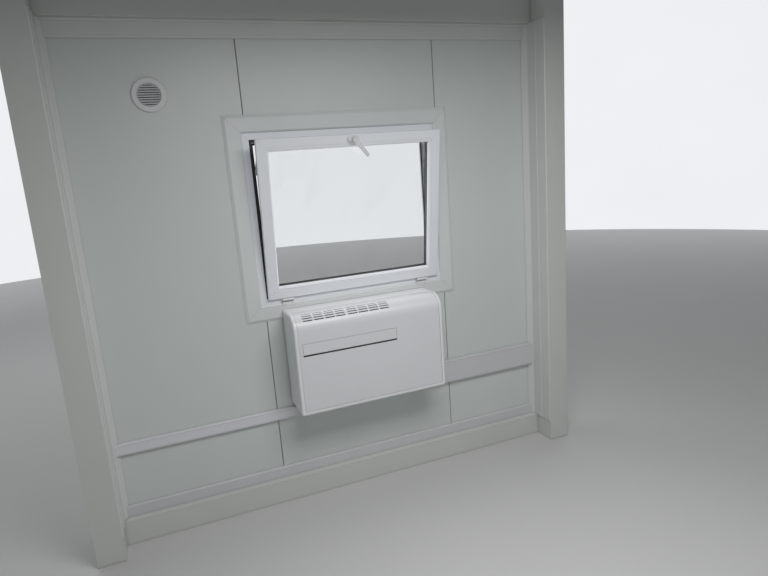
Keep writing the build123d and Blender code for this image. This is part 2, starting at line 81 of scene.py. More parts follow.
# A material under construction
class Finish:
    def __init__(self, name):
        self.material = bpy.data.materials.new(name)
        self.material.use_nodes = True
        self.tree = self.material.node_tree
        self.tree.nodes.clear()
        self.coords = self.add("ShaderNodeTexCoord", output="Object")

    def add(self, kind, settings=None, sockets=None, output=None):
        node = self.tree.nodes.new(kind)
        for key, value in (settings or {}).items():
            setattr(node, key, value)
        for key, value in (sockets or {}).items():
            if isinstance(value, Wire):
                self.tree.links.new(value.socket, node.inputs[key])
            else:
                node.inputs[key].default_value = value
        if output:
            return Wire(self, node.outputs[output])
        return Wire(self, next(o for o in node.outputs if o.enabled)) if len(node.outputs) else node

    def placed(self, shift=(0, 0, 0), turn=(0, 0, 0), stretch=(1, 1, 1)):
        return self.add("ShaderNodeMapping", {"vector_type": "TEXTURE"},
                        {"Vector": self.coords, "Location": shift, "Rotation": turn, "Scale": stretch})

    def noise(self, scale, detail=3.0, roughness=0.5, vector=None):
        return self.add("ShaderNodeTexNoise", None,
                        {"Vector": vector or self.coords, "Scale": scale, "Detail": detail,
                         "Roughness": roughness})

    def axes(self, vector=None):
        source = vector or self.coords
        node = self.add("ShaderNodeSeparateXYZ", None, {0: source}, "X").socket.node
        return [Wire(self, node.outputs[name]) for name in "XYZ"]

    # 0 below low, 1 above high, smooth between
    def ramp(self, value, low, high):
        return self.add("ShaderNodeMapRange", {"interpolation_type": "SMOOTHSTEP"},
                        {"Value": value, "From Min": low, "From Max": high})

    def mixed(self, factor, first, second):
        return self.add("ShaderNodeMix", {"data_type": "RGBA"}, {0: factor, 6: first, 7: second})

    # Painted shade: darkness in corners and along contact lines, from ambient occlusion
    def corners(self, reach):
        shade = self.add("ShaderNodeAmbientOcclusion", {"samples": 8}, {"Distance": reach}, "AO")
        return 1 - shade

    # Wear on outer corners, 1 at the arris
    def arrises(self, reach):
        shade = self.add("ShaderNodeAmbientOcclusion", {"samples": 8, "inside": True},
                         {"Distance": reach}, "AO")
        return 1 - shade

    # Fine relief on a surface whose arrises are slightly rounded
    def bump(self, height, distance, arris=0.0):
        sockets = {"Height": height, "Distance": distance, "Strength": 1.0}
        if arris:
            sockets["Normal"] = self.add("ShaderNodeBevel", {"samples": 4}, {"Radius": arris}, "Normal")
        return self.add("ShaderNodeBump", None, sockets)

    def surface(self, sockets):
        shader = self.add("ShaderNodeBsdfPrincipled", None, sockets)
        self.add("ShaderNodeOutputMaterial", None, {"Surface": shader})
        return self


def tone(red, green, blue):
    return (red, green, blue, 1.0)


# Coated steel of the inner wall: near-flat, faintly rolled along its height, darkened in its joints by
# painted shade and some dust
lining = {"pale": tone(0.662, 0.705, 0.683), "deep": tone(0.617, 0.657, 0.637),
          "dust": tone(0.25, 0.25, 0.23), "rubbed": tone(0.36, 0.365, 0.35), "gloss": 0.34, "scuffs": 0.55}


def coatedWall(name, look):
    f = Finish(name)
    z = f.axes()[2]
    clouds = f.noise(1.7, 4.0, 0.55)
    rolled = f.noise(9.0, 2.0, 0.5, f.placed(stretch=(1, 1, 14)))
    grain = f.noise(900.0, 2.0, 0.6)
    base = f.mixed(clouds * 0.7 + rolled * 0.3, look["deep"], look["pale"])
    scuffed = f.ramp(f.noise(60.0, 6.0, 0.75, f.placed(stretch=(3, 1, 0.6))), 0.66, 0.74)
    low = 1 - f.ramp(z, 0.2, 1.1)
    rubbed = f.mixed(scuffed * low * look["scuffs"], base, look["rubbed"])
    # Painted shade with some dust: the dark tone mixed in where the corner mask is high
    dustAndCornerShade = f.mixed(f.corners(0.012) * 0.42, rubbed, look["dust"])
    height = rolled * 0.35 + clouds * 0.9 + grain * 0.012
    return f.surface({"Base Color": dustAndCornerShade, "Roughness": look["gloss"] + f.noise(14.0, 4.0) * 0.14,
                      "Normal": f.bump(height, 0.0011, 0.0008),
                      "Coat Weight": 0.08, "Coat Roughness": 0.3})


# Window plastic: smooth, bluish white, with the weld line of its mitred corners
windowPlastic = {"white": tone(0.865, 0.890, 0.925), "shade": tone(0.83, 0.852, 0.888),
                 "dust": tone(0.30, 0.30, 0.29), "gloss": 0.27,
                 "weld": 0.0007, "weldDark": tone(0.46, 0.47, 0.48), "weldMix": 0.45}
sash = {"centre": (0.110, 0.0, 1.2325), "tilt": radians(8.4), "width": 1.075, "height": 0.892}
sashPlace = Matrix.Translation(sash["centre"]) @ Matrix.Rotation(sash["tilt"], 4, "X")


def plasticBar(name, look, centre, width, height, tilt=0.0):
    f = Finish(name)
    x, _, z = f.axes(f.placed(shift=centre, turn=(tilt, 0, 0)))
    across = width / 2 - abs(x)
    along = z.lesser(height - z)
    seam = 1 - f.ramp(abs(across - along), look["weld"] * 0.4, look["weld"])
    drift = f.noise(5.0, 4.0, 0.6)
    grain = f.noise(1400.0, 2.0, 0.5)
    base = f.mixed(drift, look["shade"], look["white"])
    # Painted shade with some dust in corners and along contact lines
    dustAndCornerShade = f.mixed(f.corners(0.008) * 0.3, base, look["dust"])
    seamed = f.mixed(seam * look["weldMix"], dustAndCornerShade, look["weldDark"])
    return f.surface({"Base Color": seamed, "Roughness": look["gloss"] + f.noise(22.0, 3.0) * 0.12,
                      "Normal": f.bump(grain * 0.02 - seam * 0.5 + drift * 0.25, 0.0006, 0.0012),
                      "Coat Weight": 0.15, "Coat Roughness": 0.2})


# Moulded or extruded plastic with a fine spark texture, each kind with its own white, shade and gloss
# The corner darkening in these looks is painted shade with some dust
moulding = {"grain": 1100.0, "texture": 0.06, "dustAndShadeStrength": 0.5, "reach": 0.010,
            "dust": tone(0.27, 0.265, 0.25), "coat": 0.1}


def mouldedPlastic(name, own):
    look = dict(moulding, **own)
    f = Finish(name)
    drift = f.noise(4.0, 4.0, 0.6)
    grain = f.noise(look["grain"], 3.0, 0.6)
    base = f.mixed(drift, look["shade"], look["white"])
    # Painted shade with some dust in corners and along contact lines
    dustAndCornerShade = f.mixed(f.corners(look["reach"]) * look["dustAndShadeStrength"], base, look["dust"])
    return f.surface({"Base Color": dustAndCornerShade, "Roughness": look["gloss"] + f.noise(30.0, 4.0) * 0.14,
                      "Normal": f.bump(grain * look["texture"] + drift * 0.2, 0.0007, 0.0010),
                      "Coat Weight": look["coat"], "Coat Roughness": 0.25})


# Site paint on the weather side: streaked by rain, splashed near the ground, thin at its edges
weatherPaint = {"fresh": tone(0.66, 0.67, 0.65), "faded": tone(0.60, 0.61, 0.585),
                "rain": tone(0.27, 0.26, 0.225), "splash": tone(0.24, 0.215, 0.175),
                "dust": tone(0.16, 0.15, 0.135), "primer": tone(0.20, 0.115, 0.075), "gloss": 0.42,
                "chips": 0.0}


def weatheredSteel(name, look):
    f = Finish(name)
    _, y, z = f.axes()
    clouds = f.noise(2.4, 5.0, 0.6)
    streaks = f.noise(34.0, 4.0, 0.6, f.placed(stretch=(1, 1, 26)))
    fine = f.noise(420.0, 3.0, 0.6)
    outside = f.ramp(y, 0.02, 0.075)
    run = f.ramp(streaks, 0.50, 0.74) * f.ramp(clouds, 0.30, 0.62) * outside
    spatter = f.ramp(f.noise(34.0, 8.0, 0.72), 0.30, 0.78) * 0.7 + f.ramp(fine, 0.35, 0.75) * 0.3
    splash = (1 - f.ramp(z + clouds * 0.22, 0.08, 0.50)) * spatter
    base = f.mixed(clouds, look["faded"], look["fresh"])
    wet = f.mixed(run * 0.25, base, look["rain"])
    muddy = f.mixed(splash * 0.5 * outside, wet, look["splash"])
    # Painted shade with some dust in corners and along contact lines
    dustAndCornerShade = f.mixed(f.corners(0.02) * 0.55, muddy, look["dust"])
    knocks = f.ramp(f.noise(26.0, 5.0, 0.7), 0.56, 0.64) * f.ramp(f.arrises(0.003), 0.30, 0.55)
    chips = knocks * look["chips"]
    worn = f.mixed(chips, dustAndCornerShade, look["primer"])
    return f.surface({"Base Color": worn,
                      "Roughness": look["gloss"] + splash * 0.22 + fine * 0.10 + chips * 0.2,
                      "Normal": f.bump(fine * 0.05 + clouds * 0.5 - chips * 0.3, 0.0012, 0.0015)})


# Bare zinc with its crystal pattern
def zincMetal(name, pale, deep, gloss):
    f = Finish(name)
    flakes = f.add("ShaderNodeTexVoronoi", {"feature": "F1"},
                   {"Vector": f.coords, "Scale": 130.0}, "Color")
    value = f.axes(flakes)[0]
    rub = f.noise(40.0, 4.0, 0.6, f.placed(stretch=(8, 1, 1)))
    return f.surface({"Base Color": f.mixed(value * 0.6 + rub * 0.4, deep, pale), "Metallic": 0.85,
                      "Roughness": gloss + value * 0.16 + rub * 0.08,
                      "Normal": f.bump(value * 0.05 + rub * 0.1, 0.0005)})


def softRubber(name):
    f = Finish(name)
    bloom = f.noise(60.0, 4.0, 0.6)
    fine = f.noise(900.0, 2.0, 0.5)
    return f.surface({"Base Color": f.mixed(bloom, tone(0.010, 0.010, 0.011), tone(0.030, 0.030, 0.031)),
                      "Roughness": 0.52 + bloom * 0.2, "Normal": f.bump(fine * 0.3, 0.0003)})


# Float glass: a faint wave, and wiped smears that only tint it
def clearGlass(name):
    f = Finish(name)
    smear = f.ramp(f.noise(7.0, 5.0, 0.65, f.placed(turn=(0, 0.5, 0), stretch=(1, 1, 3))), 0.48, 0.80)
    wave = f.noise(0.9, 1.0, 0.5)
    return f.surface({"Base Color": f.mixed(smear, tone(0.975, 0.988, 0.985), tone(0.950, 0.965, 0.962)),
                      "Roughness": 0.0, "Transmission Weight": 1.0, "IOR": 1.45,
                      "Normal": f.bump(wave, 0.00004)})


# Weld metal: close ripples along the bead, painted over with the steel
def weldMetal(name, look):
    f = Finish(name)
    ripples = f.add("ShaderNodeTexWave", {"wave_type": "BANDS", "bands_direction": "Z"},
                    {"Vector": f.coords, "Scale": 62.0, "Distortion": 2.5, "Detail": 2.0,
                     "Detail Scale": 3.0}, "Fac")
    soot = f.noise(70.0, 4.0, 0.6)
    return f.surface({"Base Color": f.mixed(soot * 0.6, look["faded"], look["rain"]),
                      "Roughness": look["gloss"] + soot * 0.2,
                      "Normal": f.bump(ripples + soot * 0.3, 0.0009)})


# Open foam of the filter in the wall vent
def filterFoam(name):
    f = Finish(name)
    cells = f.add("ShaderNodeTexVoronoi", {"feature": "F1"},
                  {"Vector": f.coords, "Scale": 420.0}, "Distance")
    dust = f.noise(35.0, 4.0, 0.6)
    return f.surface({"Base Color": f.mixed(dust, tone(0.045, 0.045, 0.05), tone(0.11, 0.105, 0.10)),
                      "Roughness": 0.85 + dust * 0.1, "Normal": f.bump(cells, 0.0012)})


def studioFloor(name):
    f = Finish(name)
    clouds = f.noise(0.8, 5.0, 0.6)
    fine = f.noise(60.0, 4.0, 0.6)
    mottled = f.mixed(clouds * 0.6 + fine * 0.4, tone(0.57, 0.57, 0.565), tone(0.63, 0.63, 0.625))
    return f.surface({"Base Color": mottled, "Roughness": 0.62 + fine * 0.15,
                      "Normal": f.bump(fine, 0.0006)})


# Bright behind the weather side, dimmer on the room side
def studioBackdrop(name):
    f = Finish(name)
    clouds = f.noise(0.4, 3.0, 0.5)
    bright = f.ramp(f.axes()[1], 0.0, 4.0)
    shade = f.mixed(clouds, tone(0.80, 0.81, 0.83), tone(0.84, 0.85, 0.87))
    glow = f.mixed(bright, tone(0.185, 0.19, 0.195), shade)
    f.material.cycles.emission_sampling = "NONE"
    return f.surface({"Base Color": f.mixed(clouds, tone(0.04, 0.04, 0.04), tone(0.06, 0.06, 0.06)),
                      "Roughness": 0.9 + clouds * 0.05, "Emission Color": glow, "Emission Strength": 1.02,
                      "Normal": f.bump(clouds, 0.001)})


# Where the mitred frame and boards lie, for their weld lines, and the looks of each plastic
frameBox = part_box("window_frame")
frameCentre = ((frameBox[0].x + frameBox[1].x) / 2, 0.0, frameBox[0].z)
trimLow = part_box("window_trim_bottom")[0]
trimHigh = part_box("window_trim_top")[1]
trimCentre = ((trimLow.x + trimHigh.x) / 2, 0.0, trimLow.z)
boardPlastic = dict(windowPlastic, white=tone(0.72, 0.753, 0.742), shade=tone(0.685, 0.715, 0.705),
                    gloss=0.36, weld=0.0013, weldDark=tone(0.20, 0.19, 0.17))
whiteMoulding = {"white": tone(0.74, 0.75, 0.76), "shade": tone(0.70, 0.71, 0.72), "gloss": 0.33}
unitMoulding = {"white": tone(0.755, 0.76, 0.78), "shade": tone(0.725, 0.73, 0.75), "gloss": 0.38,
                "texture": 0.10, "coat": 0.4}
surroundMoulding = dict(unitMoulding, white=tone(0.885, 0.89, 0.90), shade=tone(0.86, 0.865, 0.875))
coverMoulding = {"white": tone(0.69, 0.705, 0.695), "shade": tone(0.65, 0.665, 0.655), "gloss": 0.38,
                 "dustAndShadeStrength": 0.6}
corniceMoulding = dict(coverMoulding, white=tone(0.70, 0.71, 0.70), shade=tone(0.655, 0.67, 0.66))
trunkMoulding = {"white": tone(0.75, 0.76, 0.785), "shade": tone(0.71, 0.715, 0.74), "gloss": 0.42,
                 "dustAndShadeStrength": 0.45}
# The trunking's moulding made darker for the dado trunking and the skirting: painted shade
shadedTrunkMoulding = dict(trunkMoulding, white=tone(0.64, 0.645, 0.665), shade=tone(0.60, 0.605, 0.62))
# Near-black for the flap pan and the air deck: painted shade standing in for the dark inside of the unit
shadowBlackMoulding = {"white": tone(0.045, 0.045, 0.05), "shade": tone(0.03, 0.03, 0.032), "gloss": 0.5,
                "dustAndShadeStrength": 0.2}
greyMoulding = {"white": tone(0.30, 0.31, 0.32), "shade": tone(0.25, 0.26, 0.27), "gloss": 0.45}
sealantLook = {"white": tone(0.62, 0.62, 0.60), "shade": tone(0.52, 0.52, 0.49), "gloss": 0.40,
               "dustAndShadeStrength": 0.8, "reach": 0.006}

finishes = {
    "wall": coatedWall("inner_wall_coating", lining),
    "sash": plasticBar("sash_plastic", windowPlastic, sash["centre"], sash["width"], sash["height"],
                       sash["tilt"]),
    "frame": plasticBar("frame_plastic", windowPlastic, frameCentre, frameBox[1].x - frameBox[0].x,
                        frameBox[1].z - frameBox[0].z),
    "board": plasticBar("board_plastic", boardPlastic, trimCentre, trimHigh.x - trimLow.x,
                        trimHigh.z - trimLow.z),
    "rubber": softRubber("window_rubber"),
    "glass": clearGlass("window_glass_clear"),
    "handle": mouldedPlastic("handle_coating", dict(whiteMoulding, white=tone(0.82, 0.83, 0.84),
                                                    gloss=0.24)),
    "cover": mouldedPlastic("cover_plastic", coverMoulding),
    "cornice": mouldedPlastic("cornice_plastic", corniceMoulding),
    "trunk": mouldedPlastic("trunking_plastic", trunkMoulding),
    "dado": mouldedPlastic("dado_painted_shade_plastic", shadedTrunkMoulding),
    "vent": mouldedPlastic("vent_plastic_white", dict(whiteMoulding, dustAndShadeStrength=0.12)),
    "unit": mouldedPlastic("unit_plastic_white", unitMoulding),
    "surround": mouldedPlastic("unit_surround_white", surroundMoulding),
    "dark": mouldedPlastic("unit_inner_painted_shade", shadowBlackMoulding),
    "weld": weldMetal("painted_weld", weatherPaint),
    "foam": filterFoam("vent_filter_foam"),
    "sealant": mouldedPlastic("sealant_white", sealantLook),
    "screw": zincMetal("screw_zinc", tone(0.70, 0.71, 0.72), tone(0.50, 0.51, 0.53), 0.30),
    "duct": mouldedPlastic("duct_plastic_grey", greyMoulding),
    "paint": weatheredSteel("site_paint", dict(weatherPaint, chips=0.75)),
    "sheet": weatheredSteel("panel_paint", dict(weatherPaint, fresh=tone(0.70, 0.71, 0.695),
                                                faded=tone(0.64, 0.655, 0.635))),
    "sill": weatheredSteel("sill_coating", dict(weatherPaint, fresh=tone(0.72, 0.73, 0.73), gloss=0.34)),
    "zinc": zincMetal("zinc_plate", tone(0.62, 0.64, 0.66), tone(0.44, 0.46, 0.48), 0.34),
    "spacer": zincMetal("spacer_metal", tone(0.66, 0.67, 0.68), tone(0.55, 0.56, 0.57), 0.28),
    "floor": studioFloor("studio_floor"),
    "backdrop": studioBackdrop("studio_backdrop"),
}
dressing = {
    "wall": ["lining_left", "lining_middle_lower", "lining_middle_upper", "lining_right"],
    "sheet": ["outer_panel_left", "outer_panel_middle_lower", "outer_panel_middle_upper",
              "outer_panel_right"],
    "paint": ["corner_post_left", "corner_post_right", "floor_rail", "roof_rail"],
    "sash": ["window_sash", "glazing_bead"],
    "frame": ["window_frame"],
    "board": ["window_trim_bottom", "window_trim_right", "window_trim_top", "window_trim_left"],
    "rubber": ["frame_seals", "glazing_seals"],
    "handle": ["handle_rose", "handle_lever", "sash_hinges"],
    "cover": ["corner_cover_left", "corner_cover_right"],
    "cornice": ["cornice"],
    "trunk": ["cable_trunking"],
    "dado": ["dado_trunking", "skirting"],
    "vent": ["vent_grille", "vent_cap", "unit_outer_grilles"],
    "surround": ["unit_surround"],
    "unit": ["unit_front_panel", "unit_flap"],
    "dark": ["unit_flap_pan"],
    "duct": ["vent_duct", "unit_ducts"],
    "sill": ["window_flashing", "window_sill"],
    "zinc": ["unit_bracket", "unit_chassis", "sash_stays"],
}
for look, names in dressing.items():
    for name in names:
        for place in cadNodes[name].material_slots:
            place.material = finishes[look].material
print("finishes made:", len(finishes))


# Turns a mesh into an object with one finish; smooth is the angle past which an edge stays sharp
def makePiece(mesh, name, look, smooth=None):
    data = bpy.data.meshes.new(name)
    mesh.to_mesh(data)
    mesh.free()
    data.materials.append(finishes[look].material)
    if smooth:
        for face in data.polygons:
            face.use_smooth = True
        data.set_sharp_from_angle(angle=radians(smooth))
    piece = bpy.data.objects.new(name, data)
    bpy.context.scene.collection.objects.link(piece)
    return piece


# Puts a finished mesh on the part
def fit(mesh, name, look, slot, smooth=None):
    bmesh.ops.recalc_face_normals(mesh, faces=mesh.faces)
    piece = makePiece(mesh, name, look, smooth)
    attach(piece, "root")
    return piece


def roundEdges(mesh, edges, width):
    bmesh.ops.bevel(mesh, geom=list(edges), offset=width, segments=2, profile=0.5, affect="EDGES",
                    material=-1)


# Box between two corners, as part of a mesh
def addBox(mesh, low, high, bevel=0.0):
    made = bmesh.ops.create_cube(mesh, size=1.0)["verts"]
    size = Vector(high) - Vector(low)
    bmesh.ops.scale(mesh, vec=size, verts=made)
    bmesh.ops.translate(mesh, vec=(Vector(high) + Vector(low)) / 2, verts=made)
    if bevel:
        edges = {edge for vert in made for edge in vert.link_edges}
        roundEdges(mesh, edges, bevel)


# Round bar or cone along a direction
def addRound(mesh, start, end, radius, endRadius=None, sides=20, bevel=0.0):
    run = Vector(end) - Vector(start)
    turn = run.to_track_quat("Z", "Y").to_matrix().to_4x4()
    place = Matrix.Translation((Vector(start) + Vector(end)) / 2) @ turn
    made = bmesh.ops.create_cone(mesh, cap_ends=True, segments=sides, radius1=radius,
                                 radius2=radius if endRadius is None else endRadius,
                                 depth=run.length, matrix=place)["verts"]
    if bevel:
        rims = {e for v in made for e in v.link_edges if len(e.link_faces) == 2
                and any(len(face.verts) > 4 for face in e.link_faces)}
        roundEdges(mesh, rims, bevel)


# Rectangular ring in the sash's own plane, inset from its edge
def addSashRing(mesh, inset, width, front, back):
    edge = sash["width"] / 2 - inset
    foot, head = inset, sash["height"] - inset
    for low, high in (((-edge, foot), (edge, foot + width)),
                      ((-edge, head - width), (edge, head)),
                      ((-edge, foot + width), (-edge + width, head - width)),
                      ((edge - width, foot + width), (edge, head - width))):
        addBox(mesh, (low[0], front, low[1]), (high[0], back, high[1]))


# Double glazing: two panes, the metal spacer between them and its black edge seal
glazing = {"inset": 0.054, "front": 0.014, "back": 0.038, "pane": 0.004, "arris": 0.0006,
           "edgeSeal": 0.007, "spacer": 0.0055}
inner = (glazing["front"] + glazing["pane"], glazing["back"] - glazing["pane"])
glassHalf = sash["width"] / 2 - glazing["inset"]
glassTop = sash["height"] - glazing["inset"]
mesh = bmesh.new()
for near, far in ((glazing["front"], inner[0]), (inner[1], glazing["back"])):
    addBox(mesh, (-glassHalf, near, glazing["inset"]), (glassHalf, far, glassTop), glazing["arris"])
bmesh.ops.transform(mesh, matrix=sashPlace, verts=mesh.verts)
panes = fit(mesh, "glazing_panes", "glass", "glass")
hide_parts("window_glass")
for name, inset, width, look, slot in (
        ("glazing_spacer", glazing["inset"] + glazing["edgeSeal"], glazing["spacer"], "spacer",
         "bracket_metal"),
        ("glazing_edge_seal", glazing["inset"], glazing["edgeSeal"], "rubber", "seal")):
    mesh = bmesh.new()
    addSashRing(mesh, inset, width, *inner)
    bmesh.ops.transform(mesh, matrix=sashPlace, verts=mesh.verts)
    fit(mesh, name, look, slot)
print("double glazing made")


# Screw in a plate: a low dome with a dimple; all but sunk are shares of its radius
dome = {"rise": 0.34, "crown": 0.70, "rim": 0.26, "dimple": 0.30, "sunk": 0.0004}


def addScrew(mesh, at, out, radius):
    at, out = Vector(at), Vector(out)
    top = at + out * radius * dome["rise"]
    addRound(mesh, at - out * dome["sunk"], top, radius, radius * dome["crown"], sides=18)
    cap = min(mesh.faces, key=lambda face: (face.calc_center_median() - top).length)
    bmesh.ops.inset_region(mesh, faces=[cap], thickness=radius * dome["rim"])
    bmesh.ops.translate(mesh, vec=-out * radius * dome["dimple"], verts=cap.verts)


# Self-drilling screw: six-sided head on a round washer with its rubber below
sheetScrew = {"rubber": 0.0016, "washer": 0.0028, "head": 0.0076, "rubberRadius": 0.0070,
              "washerRadius": 0.0080, "washerCrown": 0.0074, "headRadius": 0.0046, "headCrown": 0.0043}


def addSheetScrew(heads, rubbers, at, out):
    at, out = Vector(at), Vector(out)
    seat, plate, top = (at + out * sheetScrew[level] for level in ("rubber", "washer", "head"))
    addRound(rubbers, at, seat, sheetScrew["rubberRadius"])
    addRound(heads, seat, plate, sheetScrew["washerRadius"], sheetScrew["washerCrown"])
    addRound(heads, plate, top, sheetScrew["headRadius"], sheetScrew["headCrown"], sides=6)


# Window furniture: screws in the hinge plates
furniture = {"hingeSpread": 0.425, "screwSpread": 0.021, "screwHeight": -0.0365,
             "screwRadius": 0.0034, "belowSash": 0.030}
sashX, _, sashZ = sash["centre"]
hinges = cadNodes["sash_hinges"]
hingePoints = [hinges.matrix_world @ point.co for point in hinges.data.vertices]
plateFace = min(point.y for point in hingePoints if point.z < sashZ - furniture["belowSash"])
mesh = bmesh.new()
for side in (-1, 1):
    for step in (-1, 1):
        spot = (sashX + side * furniture["hingeSpread"] + step * furniture["screwSpread"],
                plateFace, sashZ + furniture["screwHeight"])
        addScrew(mesh, spot, (0, -1, 0), furniture["screwRadius"])
fit(mesh, "hinge_screws", "screw", "bracket_metal")

# Wall vent: foam filter in the duct
vent = {"filterAt": 0.030, "filterDepth": 0.012, "filterIn": 0.0021, "softEdge": 0.001}
ductLow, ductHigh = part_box("vent_duct")
ventMiddle = (ductLow + ductHigh) / 2
mesh = bmesh.new()
addRound(mesh, (ventMiddle.x, vent["filterAt"], ventMiddle.z),
         (ventMiddle.x, vent["filterAt"] + vent["filterDepth"], ventMiddle.z),
         (ductHigh.x - ductLow.x) / 2 - vent["filterIn"], sides=48, bevel=vent["softEdge"])
fit(mesh, "vent_filter", "foam", "seal", 40)

# Air conditioner: a near-black curved deck below the outlet slots, a dark sheet standing in for the shade
# inside the unit
unit = {"round": 0.086, "deckBelow": 0.020, "deckMetal": 0.002, "deckBack": -0.030,
        "from": radians(12), "sweep": radians(78), "side": 0.012}
unitLow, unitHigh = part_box("unit_surround")
shoulder = Vector((0, unitLow.y + unit["round"], unitHigh.z - unit["round"]))
reach = unit["round"] - unit["deckBelow"]
mesh = bmesh.new()
first = [mesh.verts.new((x, shoulder.y - reach * cos(unit["from"]), shoulder.z + reach * sin(unit["from"])))
         for x in (unitLow.x + unit["side"], unitHigh.x - unit["side"])]
start = mesh.edges.new(first)
swept = bmesh.ops.spin(mesh, geom=first + [start], cent=shoulder, axis=(1, 0, 0), angle=-unit["sweep"],
                       steps=10, use_merge=False, use_duplicate=False)["geom_last"]
last = [item for item in swept if isinstance(item, bmesh.types.BMEdge)]
back = bmesh.ops.extrude_edge_only(mesh, edges=last)["geom"]
bmesh.ops.translate(mesh, vec=(0, unit["deckBack"] - shoulder.y, 0),
                    verts=[item for item in back if isinstance(item, bmesh.types.BMVert)])
bmesh.ops.recalc_face_normals(mesh, faces=mesh.faces)
bmesh.ops.solidify(mesh, geom=mesh.faces[:], thickness=unit["deckMetal"])
fit(mesh, "unit_air_deck", "dark", "duct_plastic", 40)
print("window furniture, vent filter and air deck made")

# Weather side: screws through every second rib of the panels, the flashing and the grilles
fixings = {"ribPitch": 0.100, "groove": 0.034, "fromFloor": 0.045, "fromRoof": 0.075, "face": 0.100,
           "nearby": 0.01, "flashIn": 0.023, "flashPitch": 0.215, "ringIn": 0.0115, "ringScrew": 0.0042}
heads, rubbers = bmesh.new(), bmesh.new()
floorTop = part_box("lining_left")[0].z
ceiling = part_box("lining_left")[1].z
for name in dressing["sheet"]:
    low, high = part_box(name)
    pitch = fixings["ribPitch"]
    count = int((high.x - low.x - fixings["groove"]) // pitch)
    firstRib = (low.x + high.x - count * pitch) / 2
    rows = [floorTop + fixings["fromFloor"]] if low.z < floorTop + fixings["nearby"] else []
    rows += [ceiling - fixings["fromRoof"]] if high.z > ceiling - fixings["nearby"] else []
    for number in range(0, count + 1, 2):
        for z in rows:
            addSheetScrew(heads, rubbers, (firstRib + number * pitch, fixings["face"], z), (0, 1, 0))
flashLow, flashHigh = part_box("window_flashing")
inset = fixings["flashIn"]
wide = flashHigh.x - flashLow.x - 2 * inset
tall = flashHigh.z - flashLow.z - 2 * inset
acrossCount = round(wide / fixings["flashPitch"])
upCount = round(tall / fixings["flashPitch"])
spots = [(flashLow.x + inset + wide * i / acrossCount, z) for i in range(acrossCount + 1)
         for z in (flashLow.z + inset, flashHigh.z - inset)]
spots += [(x, flashLow.z + inset + tall * i / upCount) for i in range(1, upCount)
          for x in (flashLow.x + inset, flashHigh.x - inset)]
for x, z in spots:
    addSheetScrew(heads, rubbers, (x, flashHigh.y, z), (0, 1, 0))
fit(heads, "sheet_screws", "screw", "bracket_metal")
fit(rubbers, "sheet_screw_washers", "rubber", "seal")

mesh = bmesh.new()
capLow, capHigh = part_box("vent_cap")
rings = [((capLow + capHigh) / 2, (capHigh.x - capLow.x) / 2, capHigh.y)]
grilleLow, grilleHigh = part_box("unit_outer_grilles")
radius = (grilleHigh.z - grilleLow.z) / 2
rings += [(Vector((x, 0, grilleLow.z + radius)), radius, grilleHigh.y)
          for x in (grilleLow.x + radius, grilleHigh.x - radius)]
for middle, radius, face in rings:
    for angle in (45, 135, 225, 315):
        reach = radius - fixings["ringIn"]
        spot = (middle.x + reach * cos(radians(angle)), face, middle.z + reach * sin(radians(angle)))
        addScrew(mesh, spot, (0, 1, 0), fixings["ringScrew"])
fit(mesh, "grille_screws", "screw", "bracket_metal")
print("screws made")

# Steel frame: weld beads where the rails meet the posts; the floor rail's top falls outwards
weld = {"bead": 0.0042, "short": 0.004, "railFall": 0.016, "higherInside": 0.012, "inward": 0.0035}
mesh = bmesh.new()
for rail, foot, head, higher in (
        ("floor_rail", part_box("floor_rail")[0].z, floorTop - weld["railFall"], weld["higherInside"]),
        ("roof_rail", ceiling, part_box("roof_rail")[1].z, 0.0)):
    low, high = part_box(rail)
    bottom, top = foot + weld["short"], head - weld["short"]
    outer = high.y - weld["inward"]
    for x in (low.x, high.x):
        addRound(mesh, (x, low.y, bottom), (x, low.y, top + higher), weld["bead"], sides=12)
        addRound(mesh, (x, outer, bottom), (x, outer, top), weld["bead"], sides=12)
fit(mesh, "corner_welds", "weld", "frame_steel", 50)
print("corner welds made")

# Room side: end pieces that run the trims out to the coves of the corner covers
trimEnd = {"nose": 0.003, "slope": 0.875, "gap": 0.0002, "chamfer": 0.003, "round": 0.008, "arcSteps": 6,
           "cornice": ((0.009, 0.0), (0.009, 0.019), (0.012, 0.022), (0.012, 0.077), (0.021, 0.084),
                       (0.021, 0.091))}


# The outline is (depth, height) from foot to head, and a deeper point runs further out
def addTrimEnd(mesh, outline, x, side):
    low, high = outline[0][1], outline[-1][1]
    points = [(0.0, low)] + list(outline) + [(0.0, high)]
    face = mesh.faces.new([mesh.verts.new((x, -depth, z)) for depth, z in points])
    made = bmesh.ops.extrude_face_region(mesh, geom=[face])["geom"]
    for vert in made:
        if isinstance(vert, bmesh.types.BMVert):
            vert.co.x += side * max(trimEnd["gap"], (-vert.co.y - trimEnd["nose"]) * trimEnd["slope"])
    bmesh.ops.holes_fill(mesh, edges=[edge for edge in mesh.edges if edge.is_boundary], sides=0)


def trimOutline(name):
    low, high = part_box(name)
    deep = -low.y
    if name == "cornice":
        return [(depth, low.z + z) for depth, z in trimEnd["cornice"]]
    if name == "skirting":
        bend = trimEnd["round"]
        curve = [radians(90 * step / trimEnd["arcSteps"]) for step in range(trimEnd["arcSteps"] + 1)]
        return [(deep, low.z)] + [(deep - bend * (1 - cos(angle)), high.z - bend * (1 - sin(angle)))
                                  for angle in curve]
    edge = trimEnd["chamfer"]
    return [(deep - edge, low.z), (deep, low.z + edge), (deep, high.z - edge), (deep - edge, high.z)]


for name, look, sides in (("cornice", "cornice", (-1, 1)), ("skirting", "dado", (-1, 1)),
                          ("cable_trunking", "trunk", (-1,)), ("dado_trunking", "dado", (1,))):
    mesh = bmesh.new()
    low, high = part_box(name)
    for side in sides:
        addTrimEnd(mesh, trimOutline(name), high.x if side > 0 else low.x, side)
    fit(mesh, name + "_ends", look, "trim_white")
print("trim ends made")

